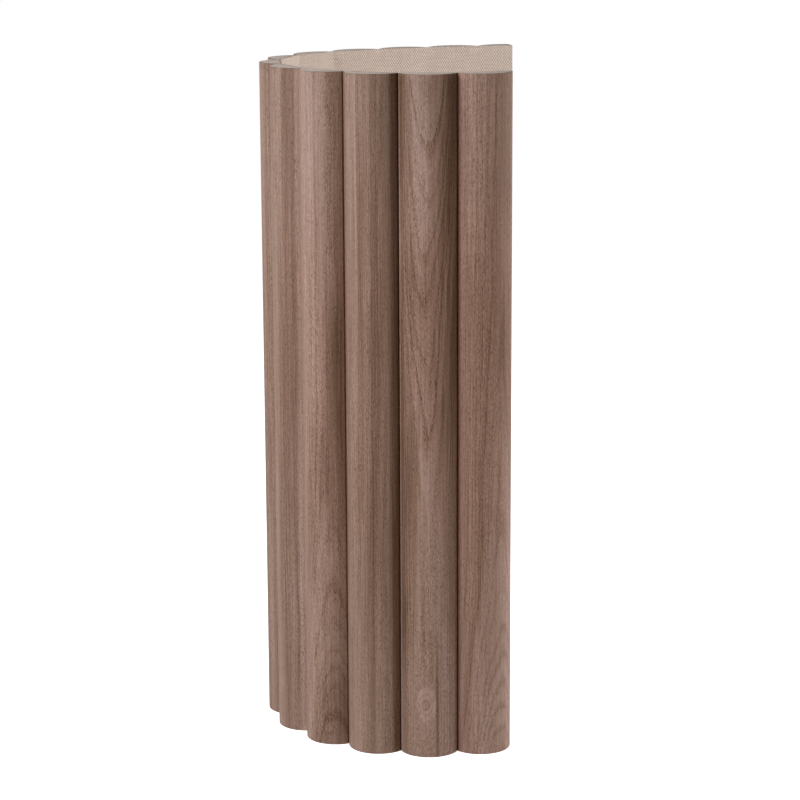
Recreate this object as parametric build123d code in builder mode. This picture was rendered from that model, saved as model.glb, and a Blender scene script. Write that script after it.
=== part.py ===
# Flexible tambour panel: half-round walnut slats, glued side by side on a woven canvas backing.
# It stands on its slat ends, bent into an open C with the canvas on the inside.
from build123d import *
import os

# The sheet as made, in millimetres
panel_height = 304.8     # length of the slats, and of the canvas along them
slat_count = 12
slat_pitch = 25.4        # from one joint of the canvas to the next
joint_gap = 0.5          # between two slats, where they meet the canvas
slat_thickness = 9.2     # from the canvas to the crown of the round
edge_land = 1.0          # square edge that is left below the round
end_arris = 0.3          # easing along the round at the sawn ends
rip_offcut = 8.5         # strip ripped off the sheet's last slat, with its canvas
canvas_thickness = 0.9

# How the sheet is bent: the canvas turns by one angle at each joint between two slats
first_heading = 199.8    # way that the first slat runs from the sheet's front end, from +X
bend_joints = 8          # joints in the round bend, before the flatter back run
bend_turn = 21.2
run_turn = 6.65


def heading(index):
    """Way that a slat runs, after the turns at the joints before it."""
    bent = min(index, bend_joints)
    return first_heading - bent * bend_turn - (index - bent) * run_turn


def facet_width(index):
    """Canvas behind a slat, which is ripped together with the last one."""
    is_ripped = index == slat_count - 1
    return slat_pitch - rip_offcut if is_ripped else slat_pitch


def lay_facets(corner):
    """Lines of the canvas's outer face from above, one for each slat, end to end from a corner."""
    facets = []
    for index in range(slat_count):
        with BuildLine():
            facet = PolarLine(corner, facet_width(index), heading(index))
        facets.append(facet)
        corner = facet @ 1
    return facets


def slat_section(facet):
    """Half-round section of a slat, with its crown out of the bend, cut off where its facet ends."""
    near_edge = joint_gap / 2
    far_edge = slat_pitch - joint_gap / 2
    crown = (slat_pitch / 2, slat_thickness)
    with BuildSketch(Plane(facet @ 0, x_dir=facet % 0, z_dir=(0, 0, 1))) as section:
        with BuildLine():
            Polyline((near_edge, edge_land), (near_edge, 0), (far_edge, 0), (far_edge, edge_land))
            ThreePointArc((near_edge, edge_land), crown, (far_edge, edge_land))
        make_face()
        if facet.length < far_edge:
            split(bisect_by=Plane.YZ.offset(facet.length), keep=Keep.BOTTOM)
    return section.sketch


def canvas_section(facets):
    """Section of the canvas: its outer face follows the slats' backs, and its thickness is inside."""
    with BuildSketch() as section:
        with BuildLine():
            Polyline([facets[0] @ 0] + [facet @ 1 for facet in facets])
            offset(amount=canvas_thickness, kind=Kind.INTERSECTION, side=Side.RIGHT)
        make_face()
    return section.sketch


def plan_centre(facets):
    """Middle of the box round the whole sheet, from above."""
    sections = [slat_section(facet) for facet in facets]
    return Compound(children=sections + [canvas_section(facets)]).bounding_box().center()


os.makedirs("parts", exist_ok=True)

# The sheet is laid out once to find its middle, and then again about that middle
facets = lay_facets(-plan_centre(lay_facets(Vector(0, 0))))

for index, facet in enumerate(facets):
    with BuildPart() as slat:
        extrude(slat_section(facet), amount=panel_height)
        chamfer(slat.edges().filter_by(GeomType.CIRCLE), length=end_arris)
    slat.part.label = f"slat_{index + 1:02d}"
    export_step(slat.part, f"parts/{slat.part.label}.step")

with BuildPart() as canvas:
    extrude(canvas_section(facets), amount=panel_height)
canvas.part.label = "canvas_backing"
export_step(canvas.part, "parts/canvas_backing.step")
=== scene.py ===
# Dresses the bent tambour panel: twelve walnut slats on a woven canvas, on a white studio floor.
import bpy
import math
from collections import namedtuple
from mathutils import Matrix, Vector


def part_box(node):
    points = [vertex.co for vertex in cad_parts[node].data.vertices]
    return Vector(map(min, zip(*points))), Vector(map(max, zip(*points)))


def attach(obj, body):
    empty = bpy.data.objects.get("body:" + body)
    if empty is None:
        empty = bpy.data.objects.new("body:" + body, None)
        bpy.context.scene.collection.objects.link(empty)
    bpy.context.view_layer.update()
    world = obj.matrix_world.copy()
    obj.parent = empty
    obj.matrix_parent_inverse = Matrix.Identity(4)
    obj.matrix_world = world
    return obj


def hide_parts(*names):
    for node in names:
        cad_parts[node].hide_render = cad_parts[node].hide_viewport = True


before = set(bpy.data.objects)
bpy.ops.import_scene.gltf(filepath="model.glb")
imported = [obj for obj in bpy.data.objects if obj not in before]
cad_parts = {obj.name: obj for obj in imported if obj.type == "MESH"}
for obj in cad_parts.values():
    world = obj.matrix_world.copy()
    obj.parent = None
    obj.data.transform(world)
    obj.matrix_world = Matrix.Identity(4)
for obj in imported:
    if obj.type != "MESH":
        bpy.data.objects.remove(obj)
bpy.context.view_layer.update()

MM = 0.001

# The sheet as made, in millimetres
panel_height = 304.8
slat_count = 12
slat_pitch = 25.4
joint_gap = 0.5
slat_thickness = 9.2
edge_land = 1.0
end_arris = 0.3
rip_offcut = 8.5
canvas_thickness = 0.9

# How the sheet is bent, in degrees
first_heading = 199.8
bend_joints = 8
bend_turn = 21.2
run_turn = 6.65

# How finely the meshes are cut
arc_steps = 56
length_steps = 48
arris_steps = 3
fold_radius = 1.6        # round that the canvas keeps on the inside of each joint
fold_steps = 5
canvas_rows = 60

# Angles between two faces, in degrees, above which the edge between them is shaded sharp
slat_sharp_angle = 16
canvas_sharp_angle = 40

# The half-round, worked out from its chord and its rise
half_chord = slat_pitch / 2 - joint_gap / 2
rise = slat_thickness - edge_land
round_radius = (half_chord ** 2 + rise ** 2) / (2 * rise)
round_half_angle = math.asin(half_chord / round_radius)
round_level = slat_thickness - round_radius      # the round's centre, which lies below the canvas
same_place = 1e-6        # points nearer than this across count as one

# Where each slat was sawn from its log: cut is the turn of the rings about the grain, in degrees
# (0 puts the arches on the crown, past 68 gives stripes), pith the distance to the log's heart,
# foot_lean and top_lean how far the rings climb per millimetre of slat below and above the height
# turn, shift where the slat lies in the ring pattern, figure how plainly its rings show, grey how
# grey (above 0) or red (below 0) its wood is, and its slope how much greyer each millimetre across,
# which is painted light: greyer on the side lit by the cool key light, redder on the side lit by warm
# bounce.
Board = namedtuple("Board", "cut pith foot_lean top_lean turn shift figure grey grey_slope")
boards = [
    Board(-20, 70, -0.110, -0.005, 75, 0.0, 0.85, -0.55, -0.01),
    Board(2, 60, 0.004, 0.052, 150, 4.0, 1.1, -0.1, 0.035),
    Board(74, 80, 0.010, 0.002, 150, 11.0, 0.3, 0.35, 0.02),
    Board(-40, 60, -0.110, -0.004, 80, 2.0, 0.85, 0.0, 0.0),
    Board(-75, 75, 0.006, 0.002, 100, 8.0, 0.3, 0.65, 0.02),
    Board(80, 90, -0.008, -0.003, 120, 6.0, 0.3, 0.4, 0.0),
    Board(-30, 55, 0.010, 0.060, 170, 3.0, 0.75, -0.2, 0.0),
    Board(66, 75, 0.010, 0.004, 120, 9.0, 0.4, 0.3, 0.0),
    Board(12, 65, -0.070, -0.010, 140, 5.0, 0.55, -0.3, 0.0),
    Board(-70, 85, -0.008, -0.004, 150, 1.0, 0.4, 0.1, 0.0),
    Board(35, 60, 0.015, 0.080, 200, 7.0, 0.75, -0.1, 0.0),
    Board(-15, 70, -0.006, 0.040, 160, 10.0, 0.75, 0.2, 0.0),
]
lean_change = 25.0       # length over which the lean goes from one to the other
log_spacing = 900.0      # how far apart along the log the slats are taken, so that no two match

# Pale and dark streak lines along single slats, by slat number: the distance of a streak's middle from
# the slat's first edge, half its width, the heights between which it shows, how pale (above 0) or
# dark (below 0) it is, and how far it wanders across per millimetre upwards. Most are the wood's own;
# those marked below, along the slats' edges, are painted light and painted shade.
Streak = namedtuple("Streak", "across half_width low high tone wander", defaults=[0.0])
BELOW = -60              # far enough below the foot for a streak not to fade there
ABOVE = 360              # and above the top
streaks_and_painted_edge_light = {
    1: [
        Streak(4.0, 5.0, 40, 150, 0.06),
        Streak(5.0, 3.5, 225, ABOVE, -0.06),
        Streak(11.0, 8.0, BELOW, 110, 0.12),
        Streak(23.0, 3.0, 210, ABOVE, 0.08),
        Streak(18.0, 3.5, 40, 100, -0.05),
        Streak(19.5, 2.6, 150, 250, -0.06),
        Streak(2.5, 2.2, BELOW, 110, 0.10),
        Streak(6.5, 3.0, 120, 230, -0.08),
        Streak(16.0, 2.5, 30, 120, -0.07),
        # painted light: pale along the lit far edge
        Streak(24.8, 1.2, BELOW, ABOVE, 0.20),
    ],
    2: [
        Streak(22.5, 4.0, 30, 250, -0.12),
        # painted shade: dark along the far edge, towards the top
        Streak(25.0, 2.0, 230, ABOVE, -0.20),
        # painted highlight: a thin pale line on the far edge's arris
        Streak(25.1, 0.35, BELOW, ABOVE, 0.42),
        Streak(15.5, 3.5, 210, ABOVE, 0.14),
        Streak(4.5, 3.0, 120, ABOVE, -0.14),
        Streak(2.0, 2.0, 150, ABOVE, -0.08),
        Streak(13.0, 9.0, BELOW, ABOVE, 0.06),
        Streak(13.5, 5.5, BELOW, 150, 0.13),
        Streak(23.5, 1.6, BELOW, 100, -0.07),
        Streak(0.6, 1.2, 210, ABOVE, -0.10),
        Streak(4.0, 3.0, BELOW, 70, 0.12),
        Streak(9.2, 2.0, 110, 240, -0.07),
        Streak(19.5, 2.2, 80, 170, -0.10),
        Streak(24.3, 1.2, 20, 265, -0.06),
        Streak(9.0, 0.6, BELOW, 70, -0.16),
        Streak(15.0, 0.6, 22, 95, -0.16),
    ],
    3: [
        Streak(8.4, 1.8, BELOW, ABOVE, -0.07, wander=-0.003),
        # painted shade: dark along the shaded first edge
        Streak(0.6, 1.8, BELOW, ABOVE, -0.28),
        Streak(4.6, 2.4, BELOW, ABOVE, -0.08),
        Streak(12.0, 9.0, BELOW, 80, 0.06),
        Streak(16.4, 0.3, 190, ABOVE, 0.16),
        Streak(17.5, 2.5, BELOW, ABOVE, 0.03),
        Streak(22.0, 3.0, 70, 220, -0.06),
        Streak(19.0, 4.0, BELOW, 50, 0.07),
    ],
    4: [
        # painted light: a thin pale line along the first edge, lightening the crease
        Streak(0.2, 0.4, BELOW, ABOVE, 0.12),
        Streak(17.5, 4.0, 70, 230, -0.06),
        Streak(14.0, 7.0, 225, ABOVE, 0.07),
        Streak(2.0, 1.8, 30, 140, -0.06),
        Streak(9.0, 4.5, 130, 330, 0.12),
        Streak(3.5, 3.0, 80, 220, -0.17),
        Streak(6.0, 7.0, BELOW, 110, -0.07),
        Streak(13.5, 5.0, 20, ABOVE, 0.06),
    ],
    5: [
        # painted light, this line and the next: a pale strip along the first edge, wider below 170 mm
        Streak(0.0, 1.5, BELOW, ABOVE, 0.50),
        Streak(0.0, 2.0, BELOW, 170, 0.14),
        Streak(7.5, 2.6, BELOW, 240, -0.07),
        Streak(2.6, 1.6, 200, ABOVE, 0.10),
        Streak(5.9, 1.5, 70, 220, -0.08),
        Streak(13.0, 4.0, 20, ABOVE, -0.08),
    ],
    6: [Streak(10.0, 9.0, 70, 230, -0.06)],
    7: [Streak(8.0, 3.0, BELOW, ABOVE, -0.14, wander=0.005)],
    8: [Streak(18.0, 4.0, 60, ABOVE, 0.14)],
    9: [Streak(5.0, 3.0, BELOW, 200, -0.18)],
    10: [Streak(15.0, 2.5, BELOW, ABOVE, -0.16, wander=-0.01)],
    11: [Streak(9.0, 5.0, 120, ABOVE, 0.16)],
    12: [Streak(6.0, 3.0, BELOW, ABOVE, 0.12)],
}
streak_fade = 40.0       # length over which a streak comes and goes
streak_end = 1.5         # half-widths from its middle at which a streak is gone

# Place of the small knot near the foot of the second slat
knot_slat = 2
knot_across = 14.1
knot_height = 24.6

# Height over the canvas up to which painted shade makes the wood darker and warmer in the grooves, on
# a slat's near and far side, and the slat numbers on which it differs from the rest
painted_shade_heights = (5.0, 2.5)
own_painted_shade_heights = {1: (5.0, 6.0), 5: (6.0, 2.5)}

# The wood is greyer towards its foot and its top, and redder in the middle
grey_most = 0.70
grey_below = 190.0
grey_above = 200.0


def heading(index):
    """Way that a slat runs, as an angle from +X."""
    bent = min(index, bend_joints)
    return math.radians(first_heading - bent * bend_turn - (index - bent) * run_turn)


def facet_width(index):
    """Canvas width under one slat."""
    if index == slat_count - 1:
        return slat_pitch - rip_offcut
    return slat_pitch


def direction(angle):
    return Vector((math.cos(angle), math.sin(angle)))


def outward(angle):
    """Side of a slat's run on which its round stands."""
    return Vector((-math.sin(angle), math.cos(angle)))


def slat_outline(width):
    """Section of a slat as (across, out, on the round), from its first edge over the round."""
    first = joint_gap / 2
    last = min(width, slat_pitch - joint_gap / 2)
    outline = [(first, 0.0, False)]
    for step in range(arc_steps + 1):
        angle = round_half_angle * (2 * step / arc_steps - 1)
        across = slat_pitch / 2 + round_radius * math.sin(angle)
        if across > last + same_place:
            edge_angle = math.asin((last - slat_pitch / 2) / round_radius)
            outline.append((last, round_level + round_radius * math.cos(edge_angle), True))
            break
        outline.append((across, round_level + round_radius * math.cos(angle), True))
    outline.append((last, 0.0, False))
    return outline


def eased(point, amount):
    """A point of the section, drawn in towards the round's centre if it lies on the round."""
    across, out, on_round = point
    if not on_round:
        return across, out
    centre = Vector((slat_pitch / 2, round_level))
    inward = (centre - Vector((across, out))).normalized() * amount
    return across + inward.x, max(out + inward.y, 0.0)


def slat_levels():
    """Heights of a slat's rings of points, with how far each is eased in at the sawn ends."""
    levels = []
    for step in range(arris_steps + 1):
        angle = math.pi / 2 * step / arris_steps
        levels.append((end_arris * (1 - math.cos(angle)), end_arris * (1 - math.sin(angle))))
    run = panel_height - 2 * end_arris
    levels += [(end_arris + run * step / length_steps, 0.0) for step in range(1, length_steps)]
    levels += [(panel_height - height, ease) for height, ease in reversed(levels[: arris_steps + 1])]
    return levels


def slat_points(outline, levels):
    """Every point of a slat, level by level, as (across, out, height)."""
    return [(*eased(point, ease), height) for height, ease in levels for point in outline]


def in_log(index, across, out, height):
    """Place of a slat's point in its log, in millimetres from the pith, before the rings' climb."""
    board = boards[index]
    turn = math.radians(board.cut)
    side = across - slat_pitch / 2
    radial = side * math.sin(turn) + out * math.cos(turn)
    tangent = side * math.cos(turn) - out * math.sin(turn)
    return tangent, board.pith + board.shift + radial, height + index * log_spacing


def ring_climb(index, height):
    """How far the rings have climbed at a height of a slat."""
    board = boards[index]
    below = lean_change * math.log(1 + math.exp((board.turn - height) / lean_change))
    return board.top_lean * (height - board.turn) - (board.foot_lean - board.top_lean) * below


def smooth_step(value):
    """A soft rise from 0 to 1."""
    value = min(max(value, 0.0), 1.0)
    return value * value * (3 - 2 * value)


def streak_and_edge_light_tone(index, across, height):
    """How pale or dark the slat's streak lines, and the painted light and shade along its edges, make it
    at a point.
    """
    tone = 0.0
    for streak in streaks_and_painted_edge_light[index + 1]:
        middle = streak.across + streak.wander * height
        reach = abs(across - middle) / streak.half_width
        rising = smooth_step((height - streak.low) / streak_fade)
        falling = smooth_step((streak.high - height) / streak_fade)
        tone += streak.tone * smooth_step(streak_end - reach) * rising * falling
    return tone


def painted_groove_shade_depth(index, across, out):
    """How deep in the groove between two slats a point lies, for its painted shade: 1 at the canvas, 0
    high on the round.
    """
    near_height, far_height = own_painted_shade_heights.get(index + 1, painted_shade_heights)
    return smooth_step(1 - out / (near_height if across < slat_pitch / 2 else far_height))


def grey_tint_and_painted_light(index, across, height):
    """How grey (above 0) or red (below 0) a slat's wood is at a point, the slope across it being painted
    light.
    """
    board = boards[index]
    # the slope across the slat is painted light: greyer on the side lit by the cool key light
    own = board.grey + board.grey_slope * (across - slat_pitch / 2)
    foot = smooth_step((grey_below - height) / grey_below)
    top = smooth_step((height - grey_above) / (panel_height - grey_above))
    return own + grey_most * (foot + top)


def new_piece(name, points, faces, materials, face_materials):
    """A mesh object from points in millimetres."""
    mesh = bpy.data.meshes.new(name)
    mesh.from_pydata([Vector(point) * MM for point in points], [], faces)
    for material in materials:
        mesh.materials.append(material)
    mesh.polygons.foreach_set("material_index", face_materials)
    mesh.validate()
    piece = bpy.data.objects.new(name, mesh)
    bpy.context.scene.collection.objects.link(piece)
    return piece


def smooth_below(piece, degrees):
    """Shades a mesh smooth, apart from its edges that are sharper than an angle."""
    piece.data.shade_smooth()
    piece.data.set_sharp_from_angle(angle=math.radians(degrees))


def set_vectors(piece, name, vectors):
    """Gives each point of a mesh a vector that its material can read."""
    layer = piece.data.attributes.new(name, "FLOAT_VECTOR", "POINT")
    layer.data.foreach_set("vector", [value for vector in vectors for value in vector])


def set_numbers(piece, name, numbers):
    """Gives each point of a mesh a number that its material can read."""
    layer = piece.data.attributes.new(name, "FLOAT", "POINT")
    layer.data.foreach_set("value", numbers)


def set_bake_map(piece, corner_places):
    """Gives the mesh the map that its colours are baked into, one place for each face corner."""
    layer = piece.data.uv_layers.new(name="OFBake")
    layer.data.foreach_set("uv", [value for place in corner_places for value in place])


def path_lengths(path):
    """How far along a path each of its points lies."""
    lengths = [0.0]
    for before, after in zip(path, path[1:]):
        lengths.append(lengths[-1] + math.dist(before, after))
    return lengths


# Shares of a slat's baked map: sides up to side_top, the two sawn ends in a band above them
side_top = 0.90
end_low = 0.92
end_tall = 0.07
end_wide = 0.45
end_starts = (0.0, 0.5)
round_share = 0.95       # the hidden back face takes what is left of the map's width

# Places of a slat's two materials in its list
SIDE = 0
SAWN_END = 1


def around_shares(outline):
    """How far round its section each point of an outline lies, as a share of the baked map's width."""
    lengths = path_lengths([(across, out) for across, out, _ in outline])
    return [round_share * length / lengths[-1] for length in lengths] + [1.0]


def end_places(outline, start):
    """Where the points of one sawn end lie in the baked map."""
    return [(start + end_wide * across / slat_pitch, end_low + end_tall * out / slat_thickness)
            for across, out, _ in outline]


def slat_faces(outline, levels):
    """Faces of a slat, its sides and then its two sawn ends, with their corners in the baked map."""
    count = len(outline)
    shares = around_shares(outline)
    faces, bake_places = [], []
    for level in range(len(levels) - 1):
        low, high = level * count, (level + 1) * count
        v_low, v_high = (side_top * levels[row][0] / panel_height for row in (level, level + 1))
        for step in range(count):
            after = (step + 1) % count
            faces.append((low + step, high + step, high + after, low + after))
            u, u_after = shares[step], shares[step + 1]
            bake_places += [(u, v_low), (u, v_high), (u_after, v_high), (u_after, v_low)]
    top = (len(levels) - 1) * count
    faces.append(tuple(range(count)))
    faces.append(tuple(reversed(range(top, top + count))))
    bake_places += end_places(outline, end_starts[0]) + end_places(outline, end_starts[1])[::-1]
    return faces, bake_places


def make_slat(index, corner, materials):
    """One half-round slat, from the canvas joint where it starts."""
    angle = heading(index)
    along, out_way = direction(angle), outward(angle)
    outline, levels = slat_outline(facet_width(index)), slat_levels()
    own_points = slat_points(outline, levels)
    points = []
    for across, out, height in own_points:
        place = corner + along * across + out_way * out
        points.append((place.x, place.y, height))
    faces, bake_places = slat_faces(outline, levels)
    face_materials = [SIDE] * (len(faces) - 2) + [SAWN_END] * 2
    piece = new_piece(f"slat_dressed_{index + 1:02d}", points, faces, materials, face_materials)
    set_vectors(piece, "grain", [in_log(index, *point) for point in own_points])
    set_numbers(piece, "climb", [ring_climb(index, height) for _, _, height in own_points])
    # streak lines, with painted light and shade along the slats' edges
    set_numbers(piece, "streaks_and_painted_edge_light", [streak_and_edge_light_tone(index, across, height) for across, _, height in own_points])
    # painted shade: how much the grooves between slats are darkened and warmed
    set_numbers(piece, "groove", [painted_groove_shade_depth(index, across, out) for across, out, _ in own_points])
    # grey tint, its slope across each slat painted light
    set_numbers(piece, "grey_tint_and_painted_light", [grey_tint_and_painted_light(index, across, height) for across, _, height in own_points])
    set_numbers(piece, "figure", [boards[index].figure] * len(own_points))
    set_bake_map(piece, bake_places)
    smooth_below(piece, slat_sharp_angle)
    return piece


# Bands of the canvas's baked map, as (low, high): the woven face takes nearly all of it
woven_band = (0.02, 0.88)
glued_band = (0.90, 0.94)
rim_bands = ((0.95, 0.96), (0.97, 0.98))

# Places of the canvas's three materials in its list
WOVEN = 0
GLUED = 1
CUT = 2


def rounded_path(corners, radius):
    """The corners joined by straight runs, with each inner corner rounded."""
    path = [corners[0]]
    for before, corner, after in zip(corners, corners[1:], corners[2:]):
        way_in = (corner - before).normalized()
        way_out = (after - corner).normalized()
        reach = radius * math.tan(way_in.angle(way_out) / 2)
        start, end = corner - way_in * reach, corner + way_out * reach
        for step in range(fold_steps + 1):
            share = step / fold_steps
            first = start.lerp(corner, share)
            second = corner.lerp(end, share)
            path.append(first.lerp(second, share))
    path.append(corners[-1])
    return path


def canvas_paths(joints):
    """The canvas's glued face and its woven face in plan, each folding softly at the joints."""
    ways = [(after - before).normalized() for before, after in zip(joints, joints[1:])]
    inward = [Vector((way.y, -way.x)) for way in ways]
    inner = [joints[0] + inward[0] * canvas_thickness]
    for joint, before, after in zip(joints[1:], inward, inward[1:]):
        middle = (before + after).normalized()
        inner.append(joint + middle * canvas_thickness / middle.dot(before))
    inner.append(joints[-1] + inward[-1] * canvas_thickness)
    return rounded_path(joints, fold_radius + canvas_thickness), rounded_path(inner, fold_radius)


def strip_material(step, width):
    """Material of one strip round the canvas: glued face, cut edge, woven face, cut edge."""
    if step < width - 1:
        return GLUED
    return CUT if step in (width - 1, 2 * width - 1) else WOVEN


def canvas_faces(width, shares):
    """Faces of the canvas, its strips and then its rims, with their materials and baked places."""
    count = 2 * width
    faces, face_materials, bake_places = [], [], []
    for row in range(canvas_rows):
        low, high = row * count, (row + 1) * count
        for step in range(count):
            after = (step + 1) % count
            faces.append((low + step, low + after, high + after, high + step))
            material = strip_material(step, width)
            face_materials.append(material)
            band_low, band_high = glued_band if material == GLUED else woven_band
            v_low, v_high = (band_low + (band_high - band_low) * level / canvas_rows
                             for level in (row, row + 1))
            u, u_after = shares[step], shares[after]
            bake_places += [(u, v_low), (u_after, v_low), (u_after, v_high), (u, v_high)]
    top = canvas_rows * count
    (foot_out, foot_in), (top_out, top_in) = rim_bands
    for step in range(width - 1):
        near, far = step, count - 1 - step
        faces.append((near, far, far - 1, near + 1))
        faces.append((top + near, top + near + 1, top + far - 1, top + far))
        face_materials += [CUT, CUT]
        u, u_after = shares[step], shares[step + 1]
        bake_places += [(u, foot_out), (u, foot_in), (u_after, foot_in), (u_after, foot_out)]
        bake_places += [(u, top_out), (u_after, top_out), (u_after, top_in), (u, top_in)]
    return faces, face_materials, bake_places


def make_canvas(joints, materials):
    """The canvas sheet, flat behind each slat and folding softly at the joints."""
    glued, woven = canvas_paths(joints)
    loop = glued + woven[::-1]
    heights = [panel_height * row / canvas_rows for row in range(canvas_rows + 1)]
    points = [(place.x, place.y, height) for height in heights for place in loop]
    run = path_lengths(woven)
    lengths = run + run[::-1]
    shares = [length / run[-1] for length in lengths]
    faces, face_materials, bake_places = canvas_faces(len(glued), shares)
    piece = new_piece("canvas_dressed", points, faces, materials, face_materials)
    set_bake_map(piece, bake_places)
    set_vectors(piece, "sheet", [(length, height, 0.0) for height in heights for length in lengths])
    smooth_below(piece, canvas_sharp_angle)
    return piece


WHITE = (1.0, 1.0, 1.0, 1.0)
WHOLE = (0.0, 1.0)
middle_noise = (0.5, 0.5, 0.5)
noise_range = (0.25, 0.75)       # where nearly all of a noise's values lie

# A darker shade of a colour is warmer: powers by which green and blue follow red
green_power = 1.12
blue_power = 1.2


class Finish:
    """One material's node tree, with short ways to add what the finishes here are made of."""

    def __init__(self, name):
        self.material = bpy.data.materials.new(name)
        self.material.use_nodes = True
        self.tree = self.material.node_tree
        self.surface = self.tree.nodes["Principled BSDF"]

    def feed(self, socket, value):
        if isinstance(value, bpy.types.NodeSocket):
            self.tree.links.new(value, socket)
        else:
            socket.default_value = value

    def node(self, kind, inputs=None, **settings):
        node = self.tree.nodes.new("ShaderNode" + kind)
        for key, value in settings.items():
            setattr(node, key, value)
        for key, value in (inputs or {}).items():
            self.feed(node.inputs[key], value)
        return node

    def vectors(self, name):
        return self.node("Attribute", attribute_name=name).outputs["Vector"]

    def number(self, name):
        return self.node("Attribute", attribute_name=name).outputs["Fac"]

    def math(self, operation, *values):
        return self.node("Math", dict(enumerate(values)), operation=operation).outputs[0]

    def plus(self, first, second):
        return self.math("ADD", first, second)

    def minus(self, first, second):
        return self.math("SUBTRACT", first, second)

    def times(self, first, second):
        return self.math("MULTIPLY", first, second)

    def plus_part(self, start, value, share):
        """Start, with a share of the value added."""
        return self.math("MULTIPLY_ADD", value, share, start)

    def vector(self, operation, *values):
        return self.node("VectorMath", dict(enumerate(values)), operation=operation).outputs[0]

    def scaled(self, vector, scale):
        """A vector or colour, multiplied part by part."""
        return self.vector("MULTIPLY", vector, scale)

    def length(self, vector):
        return self.node("VectorMath", {0: vector}, operation="LENGTH").outputs["Value"]

    def parts(self, vector):
        return self.node("SeparateXYZ", {0: vector}).outputs

    def join(self, x, y, z):
        return self.node("CombineXYZ", {0: x, 1: y, 2: z}).outputs[0]

    def noise(self, vector, detail=2.0, roughness=0.5, output="Fac"):
        inputs = {"Vector": vector, "Scale": 1.0, "Detail": detail, "Roughness": roughness}
        return self.node("TexNoise", inputs).outputs[output]

    def span(self, value, from_range, to_range=WHOLE, smooth=True):
        """Maps one range of values to another, and holds it outside."""
        inputs = {"Value": value}
        inputs["From Min"], inputs["From Max"] = from_range
        inputs["To Min"], inputs["To Max"] = to_range
        kind = "SMOOTHSTEP" if smooth else "LINEAR"
        return self.node("MapRange", inputs, interpolation_type=kind).outputs["Result"]

    def fade(self, value, from_range):
        """1 below a range of values, 0 above it."""
        return self.span(value, from_range, (1.0, 0.0))

    def spread(self, noise, to_range):
        """A noise's values, spread over a range."""
        return self.span(noise, noise_range, to_range, smooth=False)

    def ramp(self, value, stops):
        node = self.node("ValToRGB", {0: value})
        elements = node.color_ramp.elements
        while len(elements) < len(stops):
            elements.new(0.5)
        for element, (place, colour) in zip(elements, stops):
            element.position = place
            element.color = (*colour, 1.0)
        return node.outputs["Color"]

    def tint(self, share, colour, other):
        """Colour, turned to the other one by the share."""
        node = self.node("Mix", {0: share, 6: colour, 7: other}, data_type="RGBA")
        return node.outputs[2]

    def shade(self, colour, amount):
        """Colour, made lighter or darker by an amount, and warmer where it is darker."""
        green = self.math("POWER", amount, green_power)
        blue = self.math("POWER", amount, blue_power)
        return self.scaled(colour, self.join(amount, green, blue))

    def coat(self, colour, roughness, shine):
        """Sets the surface's colour, roughness and shine."""
        self.feed(self.surface.inputs["Base Color"], colour)
        self.feed(self.surface.inputs["Roughness"], roughness)
        self.feed(self.surface.inputs["Specular IOR Level"], shine)

    def bump(self, height, depth):
        """Relief that is depth metres deep."""
        inputs = {"Height": height, "Distance": depth, "Strength": 1.0}
        self.feed(self.surface.inputs["Normal"], self.node("Bump", inputs).outputs[0])


# Walnut, from its darkest streaks to its palest wood, as linear colours
walnut_stops = [
    (0.0, (0.038, 0.0175, 0.0092)),
    (0.35, (0.100, 0.0507, 0.0302)),
    (0.60, (0.187, 0.110, 0.0783)),
    (1.0, (0.314, 0.208, 0.177)),
]
red_cast = (1.05, 0.99, 0.97, 1.0)
grey_cast = (0.95, 1.01, 1.03, 1.0)
# painted shade: the darker, warmer colour put in the grooves between slats
painted_groove_shade_colour = (0.92, 0.80, 0.69, 1.0)
walnut_roughness = (0.52, 0.64)
walnut_shine = 0.08
wood_relief = 0.00012
fibre_relief = 0.35
pore_relief = 0.8

# Steps of the wood's patterns per millimetre, across the grain both ways and along it
slow_steps = (0.05, 0.05, 0.010)
quick_steps = (0.45, 0.45, 0.045)
long_streak_steps = (1.6, 1.6, 0.014)
fibre_steps = (3.4, 3.4, 0.08)
dash_steps = (4.2, 4.2, 0.8)
vessel_steps = (2.4, 2.4, 0.32)
busy_steps = (0.11, 0.11, 0.008)
strand_roughness = 0.6
dash_detail = 1.5

# Steps of the patterns that follow the rings, outward from the pith and along the grain
uneven_steps = (0.30, 0.0011)    # outward in rings, where the two others count millimetres
band_steps = (0.26, 0.0030)
grey_steps = (0.20, 0.0020)
band_seed = 3.7
grey_seed = 9.1
band_detail = 3.0

# How far the grain wanders across its run, in millimetres, slowly and quickly
slow_reach = (3.0, 3.0, 0.0)
quick_reach = (0.8, 0.8, 0.0)
ring_shake = (0.5, 0.5, 0.0)     # share of the quick wandering that the rings take

# Growth rings: their width, how many rings they stray by, and the parts of a ring where late wood
# rises and falls and early wood falls
ring_width = 1.15
uneven_reach = 3.0
late_rise = (0.45, 0.88)
late_fall = (0.90, 1.0)
early_fall = (0.0, 0.5)
ring_strengths = (0.45, 1.0)
ring_gap_range = (0.34, 0.66)    # dashes break the rings up
ring_gap_amounts = (1.40, 0.40)

# The knot: how it is squashed, how far the rings swell round it, and the distances from its heart
# over which its parts fade, in millimetres
knot_squash = (1.0, 0.5, 0.75)
knot_swell = (2.2, 0.0)
knot_swell_fade = (0.0, 7.0)
knot_heart_fade = (0.2, 0.9)
knot_ring_radius = 1.6
knot_ring_fade = (0.1, 0.7)
knot_gap_range = (0.35, 0.60)    # dashes break its ring up
knot_gap_amounts = (0.3, 1.0)
patch_stretch = (1.0, 1.0, 0.5)
patch_fade = (0.5, 7.0)
calm_fade = (1.0, 8.0)           # fine patterns are weaker near the knot
calm_amounts = (0.55, 1.0)

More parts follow.
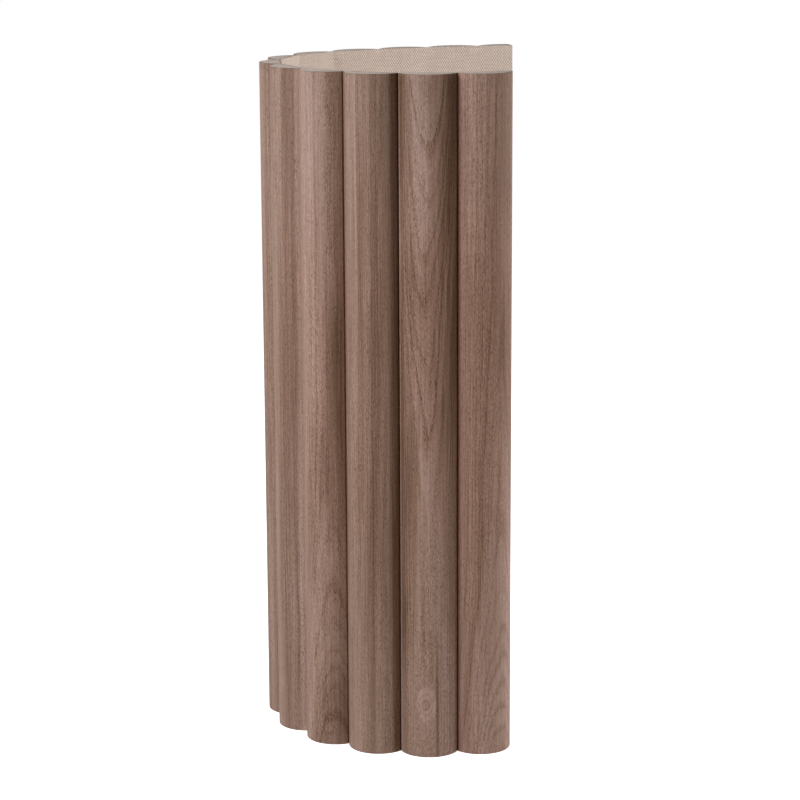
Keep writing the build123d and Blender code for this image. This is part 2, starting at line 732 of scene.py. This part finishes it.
# Open pores: their size, how much larger they are in early wood, and their soft edge, in cells
pore_size = 0.19
early_pore_growth = 0.08
pore_edge = (-0.07, 0.05)

# What the patterns add to the wood's tone, which goes from 0 (darkest) to 1 (palest)
band_tones = (0.45, 0.74)
long_streak_tones = (-0.11, 0.11)
late_wood_tone = -0.20
knot_patch_tone = 0.06
knot_ring_tone = -0.16
knot_heart_tone = -0.14

# How grey or red the wood drifts, and how its fine patterns lighten and darken it
grey_range = (0.30, 0.70)
grey_drifts = (-0.25, 0.25)
fibre_shades = (0.82, 1.18)
dash_shades = (0.66, 1.34)
pore_shades = (1.06, 0.58)
busy_range = (0.35, 0.65)
busy_amounts = (0.55, 1.10)
rough_range = (0.2, 0.8)

# Sawn ends are paler, with their rings and pores cut across
sawn_share = 0.76
sawn_colour = (0.66, 0.565, 0.495, 1.0)
sawn_ring_shades = (1.04, 0.74)
sawn_pore_shades = (1.03, 0.72)


def sway(finish, place, steps, reach):
    """How the grain wanders at a place."""
    wander = finish.noise(finish.scaled(place, steps), output="Color")
    return finish.scaled(finish.vector("SUBTRACT", wander, middle_noise), reach)


def strands(finish, place, steps, detail=2.0):
    """Noise that is drawn out along the grain."""
    return finish.noise(finish.scaled(place, steps), detail, strand_roughness)


def layers(finish, outward_place, along, steps, seed=0.0, detail=2.0):
    """Noise in layers round the pith, drawn out along the grain."""
    outward_steps, along_steps = steps
    place = finish.join(finish.times(outward_place, outward_steps), seed, finish.times(along, along_steps))
    return finish.noise(place, detail)


def knot_distances(finish, place):
    """Distances from the knot's heart, for its rings and, drawn out along the grain, for its patch."""
    heart = Vector(in_log(knot_slat - 1, knot_across, slat_thickness, knot_height))
    from_heart = finish.scaled(finish.vector("SUBTRACT", place, heart), knot_squash)
    return finish.length(from_heart), finish.length(finish.scaled(from_heart, patch_stretch))


def growth_rings(finish, radius, along):
    """How much late and early wood there is at a distance from the pith."""
    rings = finish.math("DIVIDE", radius, ring_width)
    rings = finish.plus(rings, finish.times(layers(finish, rings, along, uneven_steps), uneven_reach))
    phase = finish.math("FRACT", rings)
    ring_number = finish.math("FLOOR", rings)
    strength = finish.node("TexWhiteNoise", {"W": ring_number}, noise_dimensions="1D").outputs["Value"]
    late_wood = finish.times(finish.span(phase, late_rise), finish.fade(phase, late_fall))
    late_wood = finish.times(late_wood, finish.span(strength, WHOLE, ring_strengths))
    return late_wood, finish.fade(phase, early_fall)


def open_pores(finish, place, early_wood):
    """Open pores along the grain: 1 in a pore, 0 beside it."""
    cells = {"Vector": finish.scaled(place, vessel_steps), "Scale": 1.0}
    distance = finish.node("TexVoronoi", cells, feature="F1").outputs["Distance"]
    size = finish.plus(pore_size, finish.times(early_wood, early_pore_growth))
    return finish.fade(finish.minus(distance, size), pore_edge)


def with_knot(finish, tone, knot_reach, patch_reach, dashes):
    """The wood's tone, with the knot's pale patch, dark ring and dark heart."""
    from_ring = finish.math("ABSOLUTE", finish.minus(knot_reach, knot_ring_radius))
    ring = finish.fade(from_ring, knot_ring_fade)
    ring = finish.times(ring, finish.span(dashes, knot_gap_range, knot_gap_amounts))
    tone = finish.plus_part(tone, finish.fade(patch_reach, patch_fade), knot_patch_tone)
    tone = finish.plus_part(tone, ring, knot_ring_tone)
    return finish.plus_part(tone, finish.fade(knot_reach, knot_heart_fade), knot_heart_tone)


def with_casts_and_painted_shade(finish, colour, radius, along):
    """The wood's colour, greyer or redder from place to place, with a painted light tint across each slat,
    and darkened and warmed by painted shade in the grooves.
    """
    drift = finish.span(layers(finish, radius, along, grey_steps, grey_seed), grey_range, grey_drifts)
    # grey tint, partly painted light across each slat
    grey = finish.span(finish.plus(finish.number("grey_tint_and_painted_light"), drift), (-1.0, 1.0), smooth=False)
    colour = finish.scaled(colour, finish.tint(grey, red_cast, grey_cast))
    # painted shade: the grooves between slats darkened and warmed
    return finish.scaled(colour, finish.tint(finish.number("groove"), WHITE, painted_groove_shade_colour))


def fine_shade(finish, place, fibres, dashes, pores, patch_reach):
    """How fibres, dashes and pores lighten and darken the wood, more in busy places than in calm ones."""
    fine = finish.times(finish.spread(fibres, fibre_shades), finish.spread(dashes, dash_shades))
    fine = finish.times(fine, finish.span(pores, WHOLE, pore_shades))
    busy = finish.span(finish.noise(finish.scaled(place, busy_steps)), busy_range, busy_amounts)
    busy = finish.times(busy, finish.span(patch_reach, calm_fade, calm_amounts))
    return finish.plus_part(1.0, finish.minus(fine, 1.0), busy)


def walnut(name, sawn_end=False):
    """Walnut as a solid: growth rings round the pith, colour bands that follow them, fibres and pores."""
    finish = Finish(name)
    place = finish.vectors("grain")
    drifted = finish.vector("ADD", place, sway(finish, place, slow_steps, slow_reach))
    shake = sway(finish, place, quick_steps, quick_reach)
    bent = finish.vector("ADD", drifted, shake)
    x, y, along = finish.parts(finish.vector("ADD", drifted, finish.scaled(shake, ring_shake)))
    y = finish.plus(y, finish.number("climb"))
    radius = finish.math("SQRT", finish.plus(finish.times(x, x), finish.times(y, y)))
    knot_reach, patch_reach = knot_distances(finish, finish.vector("ADD", place, shake))
    radius = finish.plus(radius, finish.span(knot_reach, knot_swell_fade, knot_swell))

    late_wood, early_wood = growth_rings(finish, radius, along)
    if not sawn_end:
        late_wood = finish.times(late_wood, finish.number("figure"))
    fibres = strands(finish, bent, fibre_steps)
    dashes = strands(finish, bent, dash_steps, dash_detail)
    pores = open_pores(finish, bent, early_wood)

    tone = finish.spread(layers(finish, radius, along, band_steps, band_seed, band_detail), band_tones)
    # streak lines, with painted light and shade along the slats' edges
    tone = finish.plus(tone, finish.number("streaks_and_painted_edge_light"))
    tone = finish.plus(tone, finish.spread(strands(finish, bent, long_streak_steps), long_streak_tones))
    broken_rings = finish.times(late_wood, finish.span(dashes, ring_gap_range, ring_gap_amounts))
    tone = finish.plus_part(tone, broken_rings, late_wood_tone)
    tone = with_knot(finish, tone, knot_reach, patch_reach, dashes)

    # with a painted light tint across each slat and painted shade in the grooves
    colour = with_casts_and_painted_shade(finish, finish.ramp(tone, walnut_stops), radius, along)
    colour = finish.shade(colour, fine_shade(finish, place, fibres, dashes, pores, patch_reach))
    if sawn_end:
        colour = finish.tint(sawn_share, colour, sawn_colour)
        colour = finish.shade(colour, finish.span(late_wood, WHOLE, sawn_ring_shades))
        colour = finish.shade(colour, finish.span(pores, WHOLE, sawn_pore_shades))
    finish.coat(colour, finish.span(fibres, rough_range, walnut_roughness), walnut_shine)
    relief = finish.minus(finish.times(fibres, fibre_relief), finish.times(pores, pore_relief))
    finish.bump(relief, wood_relief)
    return finish.material


# Canvas weave, in millimetres from thread to thread, and its colours from the gaps to the threads
warp_pitch = 0.60
weft_pitch = 0.94
thread_range = (-0.8, 0.8)
thread_stops = [
    (0.0, (0.40, 0.315, 0.260)),
    (0.5, (0.50, 0.400, 0.335)),
    (1.0, (0.65, 0.545, 0.470)),
]
weave_relief = 0.00010
weave_shine = 0.15
weave_sheen = 0.15
canvas_roughness = 0.9

# A thread's tone, which changes slowly along it, from one crossing thread to the next
run_steps = 0.06
warp_seed = 0.0
weft_seed = 7.0
thread_tone_range = (0.6, 1.4)
thread_shades = (0.90, 1.08)

# Cut edges of the canvas, where the thread ends show
cut_steps = (1 / warp_pitch, 1 / weft_pitch)
cut_seed = 3.0
cut_stops = [(0.3, (0.300, 0.240, 0.200)), (0.7, (0.430, 0.355, 0.305))]

# Face of the canvas that is glued under the slats and seen only in the slits between them: glue, painted
# near black as the shade in those slits
glue_steps = (0.5, 0.12)
glue_seed = 0.0
glue_and_slit_shade_stops = [(0.3, (0.026, 0.012, 0.006)), (0.7, (0.070, 0.034, 0.019))]
glue_roughness = 0.8
dull_shine = 0.1


def canvas():
    """Plain-woven cotton canvas, seen thread by thread."""
    finish = Finish("canvas_weave")
    u, v, _ = finish.parts(finish.vectors("sheet"))
    column = finish.math("DIVIDE", u, warp_pitch)
    row = finish.math("DIVIDE", v, weft_pitch)
    across = finish.math("COSINE", finish.times(column, math.pi))
    up = finish.math("COSINE", finish.times(row, math.pi))
    over = finish.times(across, up)
    warp_runs = finish.noise(finish.join(column, finish.times(row, run_steps), warp_seed))
    weft_runs = finish.noise(finish.join(finish.times(column, run_steps), row, weft_seed))
    thread_tone = finish.span(finish.plus(warp_runs, weft_runs), thread_tone_range, thread_shades)
    colour = finish.shade(finish.ramp(finish.span(over, thread_range), thread_stops), thread_tone)
    finish.coat(colour, canvas_roughness, weave_shine)
    finish.surface.inputs["Sheen Weight"].default_value = weave_sheen
    finish.bump(finish.math("ABSOLUTE", over), weave_relief)
    return finish.material


def blotched(name, steps, seed, stops, roughness):
    """A face of the canvas with a blotched colour."""
    finish = Finish(name)
    u, v, _ = finish.parts(finish.vectors("sheet"))
    blotches = finish.noise(finish.join(finish.times(u, steps[0]), finish.times(v, steps[1]), seed))
    finish.coat(finish.ramp(blotches, stops), roughness, dull_shine)
    return finish.material


def cut_edge():
    return blotched("canvas_cut_edge", cut_steps, cut_seed, cut_stops, canvas_roughness)


# the glued face of the canvas, painted near black as the shade in the slits between the slats
def slit_shade_face():
    return blotched("canvas_glue_and_slit_shade", glue_steps, glue_seed, glue_and_slit_shade_stops, glue_roughness)


# The floor, with its reach in metres
floor_colour = (0.86, 0.86, 0.86, 1.0)
floor_glow = 0.86
floor_roughness = 0.9
floor_reach = 12.0


def white_floor():
    """White studio floor, lit from below like a light table."""
    finish = Finish("studio_floor")
    finish.coat(floor_colour, floor_roughness, dull_shine)
    finish.surface.inputs["Emission Color"].default_value = WHITE
    finish.surface.inputs["Emission Strength"].default_value = floor_glow
    return finish.material


def lay_joints():
    """Canvas joints in plan, set so that the first slat lies where the solid does."""
    corner = Vector((0.0, 0.0))
    joints = [corner]
    for index in range(slat_count):
        corner = corner + direction(heading(index)) * facet_width(index)
        joints.append(corner)
    along, out_way = direction(heading(0)), outward(heading(0))
    plan = [along * across + out_way * out for across, out, _ in slat_outline(slat_pitch)]
    low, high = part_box("slat_01")
    start = Vector((low[0] / MM - min(p.x for p in plan), low[1] / MM - min(p.y for p in plan)))
    return [joint + start for joint in joints]


def build_panel():
    sides, ends = walnut("walnut_round"), walnut("walnut_sawn_end", sawn_end=True)
    joints = lay_joints()
    for index in range(slat_count):
        slat = make_slat(index, joints[index], [sides, ends])
        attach(slat, "root")
        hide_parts(f"slat_{index + 1:02d}")
    sheet = make_canvas(joints, [canvas(), slit_shade_face(), cut_edge()])
    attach(sheet, "root")
    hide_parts("canvas_backing")


def add_floor():
    far = floor_reach / MM
    corners = [(-far, -far, 0), (far, -far, 0), (far, far, 0), (-far, far, 0)]
    floor = new_piece("studio_floor", corners, [(0, 1, 2, 3)], [white_floor()], [0])


# Softboxes, turned to the middle of the panel: place and size in metres, watts and colour
Softbox = namedtuple("Softbox", "name place size watts colour")
cool_light = (0.97, 1.0, 1.05)
white_light = (1.0, 1.0, 1.0)
softboxes = [
    Softbox("key_left", (-0.6, -0.5, 0.7), (0.4, 0.4), 7.2, cool_light),
    Softbox("side_right", (0.9, 0.15, 0.25), (0.4, 0.6), 7.0, white_light),
    Softbox("back_left", (-1.0, 0.4, 0.5), (0.5, 0.9), 6.8, cool_light),
]
light_target = Vector((0.0, 0.0, 0.17))
backdrop_strength = 0.16


def add_light(box):
    lamp = bpy.data.lights.new(box.name, "AREA")
    lamp.shape = "RECTANGLE"
    lamp.size, lamp.size_y = box.size
    lamp.energy = box.watts
    lamp.color = box.colour
    light = bpy.data.objects.new(box.name, lamp)
    light.location = box.place
    light.rotation_euler = (light_target - Vector(box.place)).to_track_quat("-Z", "Y").to_euler()
    bpy.context.scene.collection.objects.link(light)


def add_backdrop():
    """Even white light from all round."""
    world = bpy.data.worlds.new("studio_white")
    world.use_nodes = True
    backdrop = world.node_tree.nodes["Background"]
    backdrop.inputs["Color"].default_value = WHITE
    backdrop.inputs["Strength"].default_value = backdrop_strength
    bpy.context.scene.world = world
    bpy.context.scene.view_settings.view_transform = "Standard"


# The photograph's viewpoint: place in millimetres, tilt and roll in degrees, focal length in pixels
picture_width = 800
sensor_width = 36.0
focal_pixels = 2587.573
camera_place = (3.76, -1185.71, 399.83)
camera_tilt = 12.10
camera_roll = -0.271


def add_camera():
    lens = bpy.data.cameras.new("photo_camera")
    lens.sensor_width = sensor_width
    lens.lens = focal_pixels / picture_width * sensor_width
    lens.dof.use_dof = False
    camera = bpy.data.objects.new("photo_camera", lens)
    turn = Matrix.Rotation(math.radians(90 - camera_tilt), 4, "X")
    roll = Matrix.Rotation(math.radians(camera_roll), 4, "Z")
    camera.matrix_world = Matrix.Translation(Vector(camera_place) * MM) @ turn @ roll
    bpy.context.scene.collection.objects.link(camera)
    bpy.context.scene.camera = camera


build_panel()
add_floor()
for softbox in softboxes:
    add_light(softbox)
add_backdrop()
add_camera()
bpy.context.view_layer.update()
